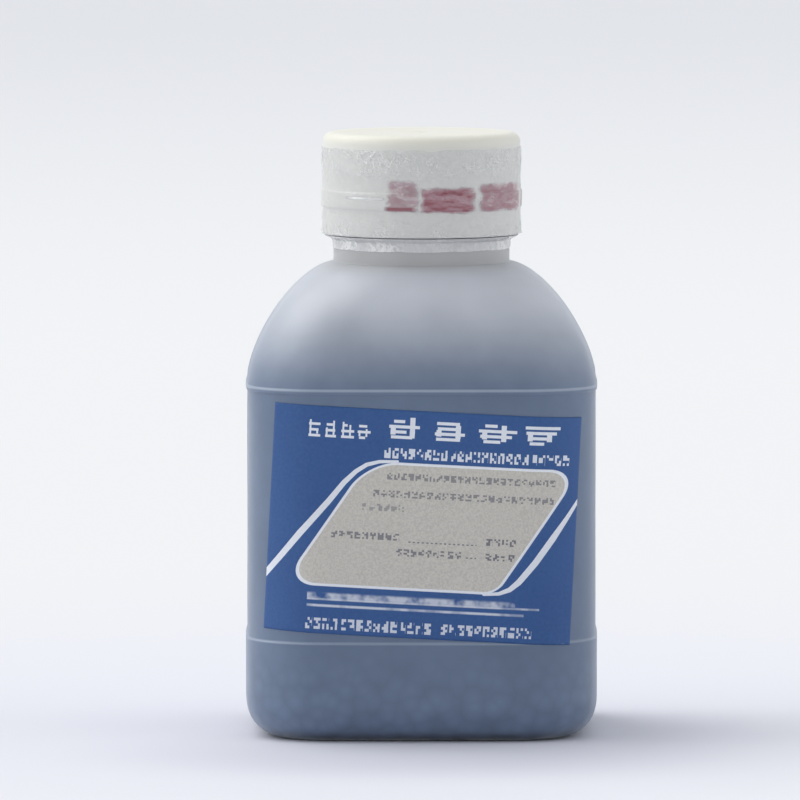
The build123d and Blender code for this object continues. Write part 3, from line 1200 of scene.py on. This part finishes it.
def filmTube(name, angles, rows):  # a thin closed shell from rows of (radius, height)
    rings = []
    around = [(math.cos(a), math.sin(a)) for a in angles]
    for more, side in ((filmShape["thickness"], rows), (0.0, rows[::-1])):
        for row in side:
            rings.append([((r + more) * x, (r + more) * y, z) for (x, y), (r, z) in zip(around, row)])
    faces = ringFaces(len(rings), len(angles), loop=True)
    return pieceFrom(name, np.array(rings).reshape(-1, 3), faces, materials["film"])


def filmSleeve():
    f = filmShape
    angles = np.linspace(0, 2 * math.pi, f["sleeveSides"], endpoint=False)
    foot, head = sleeveLow.z, sleeveHigh.z
    rows = []
    for step in range(f["sleeveRows"] + 1):
        row = []
        for a in angles:
            edge = min(f["topWander"] * (waver(a, 5, 9.0) - 0.3), 0.0)
            height = foot + (head + edge - foot) * (step / f["sleeveRows"])
            atHead = float(eased(height, 136.5, 143.0))
            atFoot = 1 - float(eased(height, 124.6, 131.5))
            gather = 0.25 + 0.75 * max(atHead, atFoot)
            if 131.0 < height < 136.0:
                gather *= 0.5
            folds = 0.65 * crease(a, height, 4.2, 1.0) ** 2 + 0.35 * crease(a, height, 1.9, 5.0) ** 2
            stand = f["wrinkle"] * gather * folds
            row.append((float(capRadiusAt(height)) + f["gap"] + stand, height))
        rows.append(row)
    return filmTube("filmSleeve", angles, rows)


def filmCollar():
    f = filmShape
    angles = np.linspace(0, 2 * math.pi, f["collarSides"], endpoint=False)
    neck, foot, head = bottleShape["neckRadius"] + f["gap"], collarLow.z, collarHigh.z
    rows = []
    for step in range(f["collarRows"] + 1):
        part = step / f["collarRows"]
        radius = neck + (collarHigh.x - neck - 0.2) * float(eased(part, 0.62, 1.0))
        height = foot + (head - foot) * part
        row = []
        for a in angles:
            folds = crease(a, height, 2.6, 11.0) ** 2
            stand = 0.3 * (0.3 + part) * folds * (1 - eased(part, 0.85, 1.0))
            row.append((radius + stand, height + max(0.35 * waver(a, 6, 2.0) * (1 - part), 0.0)))
        rows.append(row)
    return filmTube("filmCollar", angles, rows)


sleeve = filmSleeve()
collar = filmCollar()
print("film:", len(sleeve.data.polygons) + len(collar.data.polygons), "faces")


# Riding and standing in.

ridden = [  # piece, body, slot, the node it replaces
    (bottle, "bottle_body", "bottle_plastic", "bottle"),
    (neckThread, "bottle_body", "bottle_plastic", None),
    (core, "bottle_body", "gel_beads", "silica_gel"),
    (label, "bottle_body", "label_paper", "front_label"),
    (collar, "bottle_body", "shrink_film", "neck_collar"),
    (cap, "cap", "cap_plastic", "screw_cap"),
    (capThread, "cap", "cap_plastic", None),
    (sleeve, "cap", "shrink_film", "cap_sleeve"),
    (disc, "cap_carrier", "liner_foam", "cap_liner"),
    (stopper, "stopper", "stopper_plastic", "inner_stopper"),
]
ridden += [(layer, "bottle_body", "gel_beads", None) for layer in beads]
for piece, body, slot, node in ridden:
    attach(piece, body)
    if node:
        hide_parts(node)


# Floor, light and camera.

studio = {
    # near, far and back colours paint how the light on the floor falls off
    "near": linear(226, 226, 233),
    "far": linear(230, 230, 230),
    "back": linear(212, 213, 216),
    "paintedShadow": linear(208, 208, 218),  # painted contact shadow on the floor close in front of the base
    "nearRadius": 40.0,
    "farRadius": 500.0,
    "backStart": 1200.0,
    "backEnd": 4500.0,
    "rings": [80.0, 200.0, 500.0, 1000.0, 2500.0, 9000.0],
    "spokes": 96,
    "skyColour": (0.93, 0.955, 1.0, 1.0),
    "sky": 0.86,
    "front": 0.48,
}


def floorNodes(bench):
    at = bench.place()
    x, y, _ = bench.parts(at)
    radius = (x * x + y * y).op("SQRT")
    front = x * x * 0.55 + (y + 75.0) * (y + 75.0)
    cloud = bench.grain(at, 60.0, 2.0)
    away = radius.soft(studio["nearRadius"], studio["farRadius"])
    # painted shade: the floor is a little darker and bluer close in, and darker far behind
    colour = bench.mix(away, studio["near"], studio["far"])
    colour = bench.mix(y.soft(studio["backStart"], studio["backEnd"]), colour, studio["back"])
    # painted contact shadow in front of the base
    colour = bench.mix(1.0 - front.op("SQRT").soft(15.0, 75.0), colour, studio["paintedShadow"])
    return {"Base Color": bench.mix(cloud * 0.04, colour, studio["near"]), "Roughness": 0.7}


floorMaterial = finish("studioFloor", floorNodes)
spokes, sides = studio["spokes"], studio["rings"]
around = np.linspace(0, 2 * math.pi, spokes, endpoint=False)
floorPoints = [(0, 0, 0)] + [(r * math.cos(a), r * math.sin(a), 0) for r in sides for a in around]
floorFaces = [(0, 1 + j, 1 + (j + 1) % spokes) for j in range(spokes)]
floorFaces += [tuple(1 + p for p in face) for face in ringFaces(len(sides), spokes, flip=True)]
floor = pieceFrom("studioFloorSheet", floorPoints, floorFaces, floorMaterial)

world = bpy.data.worlds.new("studioSky")
bpy.context.scene.world = world
world.use_nodes = True
world.node_tree.nodes.clear()
sky = Bench(world.node_tree)
_, ahead, _ = sky.parts(sky.node("ShaderNodeTexCoord", output=0))
level = studio["front"] + (studio["sky"] - studio["front"]) * ahead.soft(-0.85, 0.1)
light = sky.node("ShaderNodeBackground", None, {"Color": studio["skyColour"], "Strength": level})
out = world.node_tree.nodes.new("ShaderNodeOutputWorld")
world.node_tree.links.new(light.socket, out.inputs["Surface"])

lamps = {  # suns: direction, spread, power, colour
    "key": ((-0.55, 0.35, 0.85), 50.0, 1.2, (1.0, 0.99, 0.97)),
    "right": ((0.9, -0.15, 0.3), 60.0, 0.3, (0.98, 0.99, 1.0)),
    "left": ((-0.9, -0.25, 0.35), 60.0, 0.7, (0.98, 0.99, 1.0)),
}
for name, (place, spread, power, colour) in lamps.items():
    data = bpy.data.lights.new(name, "SUN")
    data.angle, data.energy, data.color = math.radians(spread), power, colour
    holder = bpy.data.objects.new(name, data)
    holder.location = Vector(place) * 1.5
    holder.rotation_euler = (-Vector(place)).to_track_quat("-Z", "Y").to_euler()
    bpy.context.scene.collection.objects.link(holder)

shot = {"elevation": 4.2, "distance": 3.0, "lens": 537.0, "aim": (-0.0054, 0.0, 0.0823)}
camera = bpy.data.objects.new("camera", bpy.data.cameras.new("camera"))
camera.data.lens, camera.data.sensor_width = shot["lens"], 36.0
camera.data.clip_end = 50.0
lean = math.radians(shot["elevation"])
aim = Vector(shot["aim"])
camera.location = aim + shot["distance"] * Vector((0, -math.cos(lean), math.sin(lean)))
camera.rotation_euler = (aim - camera.location).to_track_quat("-Z", "Y").to_euler()
bpy.context.scene.collection.objects.link(camera)
bpy.context.scene.camera = camera
bpy.context.scene.view_settings.view_transform = "Standard"
print("studio ready")
